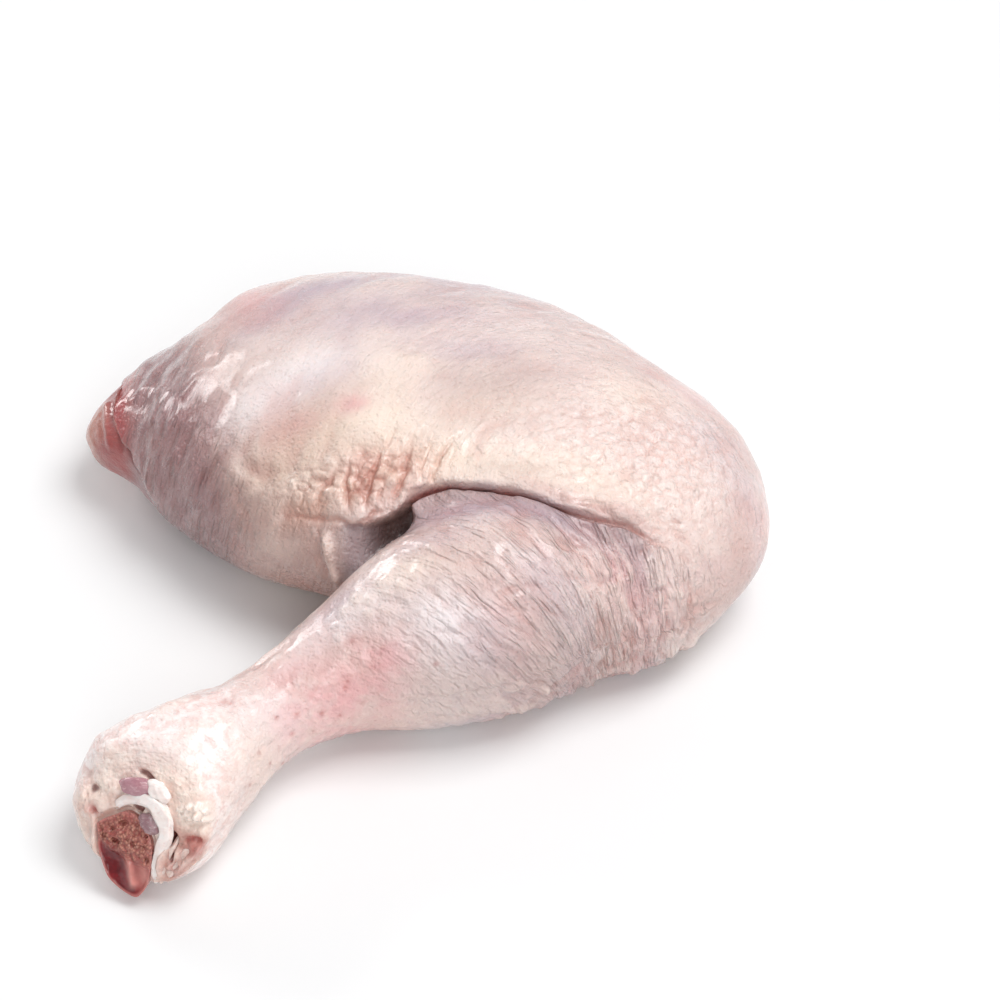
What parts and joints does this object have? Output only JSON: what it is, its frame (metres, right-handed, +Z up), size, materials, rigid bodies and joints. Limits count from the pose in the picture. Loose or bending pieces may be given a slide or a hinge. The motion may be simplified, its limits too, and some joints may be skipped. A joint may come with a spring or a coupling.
{
  "type": "raw turkey leg",
  "caption": "Raw whole turkey leg with its skin on, thigh and drumstick bent at the knee, lying on its inner side, with the cut ankle bone and tendons bare.",
  "frame": {"origin": "middle of the leg's bounding box, on the surface that the leg lies on", "axes": "+X from the hip end towards the knee, +Y towards the thigh's outer curve and away from the drumstick, +Z up off the surface that the leg lies on"},
  "size_m": [0.2251, 0.2349, 0.0709],
  "materials": {
    "skin": "moist raw poultry skin, pink and cream with lilac shadows",
    "meat": "wet raw dark meat",
    "bone": "cut spongy bone, red with marrow",
    "cartilage": "smooth wet cartilage, pale purple",
    "tendon": "wet white tendon"
  },
  "bodies": {
    "root": {"leg": "skin", "thigh_meat": "meat", "shin_bone": "bone", "joint_cartilage": "cartilage", "tendon_loop": "tendon", "tendon_strand": "tendon", "tendon_cord": "tendon"}
  },
  "joints": []
}
